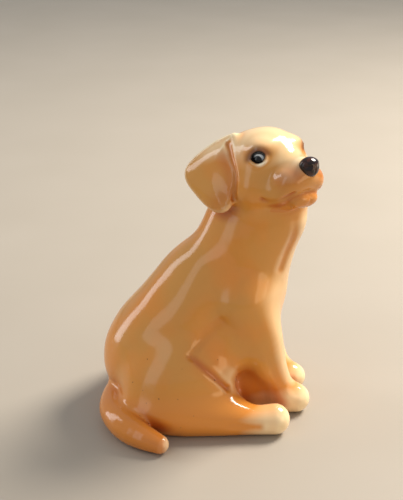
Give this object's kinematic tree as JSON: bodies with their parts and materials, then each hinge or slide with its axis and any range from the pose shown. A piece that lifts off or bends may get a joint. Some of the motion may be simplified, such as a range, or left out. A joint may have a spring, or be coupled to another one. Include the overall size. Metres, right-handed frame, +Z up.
{
  "type": "ceramic dog figurine",
  "caption": "Sitting puppy figurine in glossy honey-coloured glaze, head turned to its right, tail curled round; a hollow cast trunk on a flat base with pressed-on head, legs and tail.",
  "frame": {"origin": "on the flat underside, on the middle plane of the trunk, between the vent hole and the forelegs", "axes": "+Z up, -Y the way the trunk and the paws face, +X the puppy's left"},
  "size_m": [0.0627, 0.0644, 0.0879],
  "materials": {
    "honey_glaze": "glossy transparent honey glaze, paler where it is thin and orange where it pools",
    "amber_glaze": "glossy amber glaze, thicker and more orange",
    "nose_glaze": "glossy black-brown painted glaze",
    "eye_glaze": "glossy painted eye under clear glaze: black rim, grey iris, black pupil"
  },
  "bodies": {
    "root": {"torso": "honey_glaze", "head": "honey_glaze", "lower_jaw": "amber_glaze", "nose": "nose_glaze", "right_eye": "eye_glaze", "left_eye": "eye_glaze", "right_ear": "honey_glaze", "left_ear": "honey_glaze", "right_haunch": "honey_glaze", "left_haunch": "honey_glaze", "right_hind_foot": "honey_glaze", "left_hind_foot": "honey_glaze", "right_foreleg": "honey_glaze", "left_foreleg": "honey_glaze", "tail": "honey_glaze"}
  },
  "joints": []
}
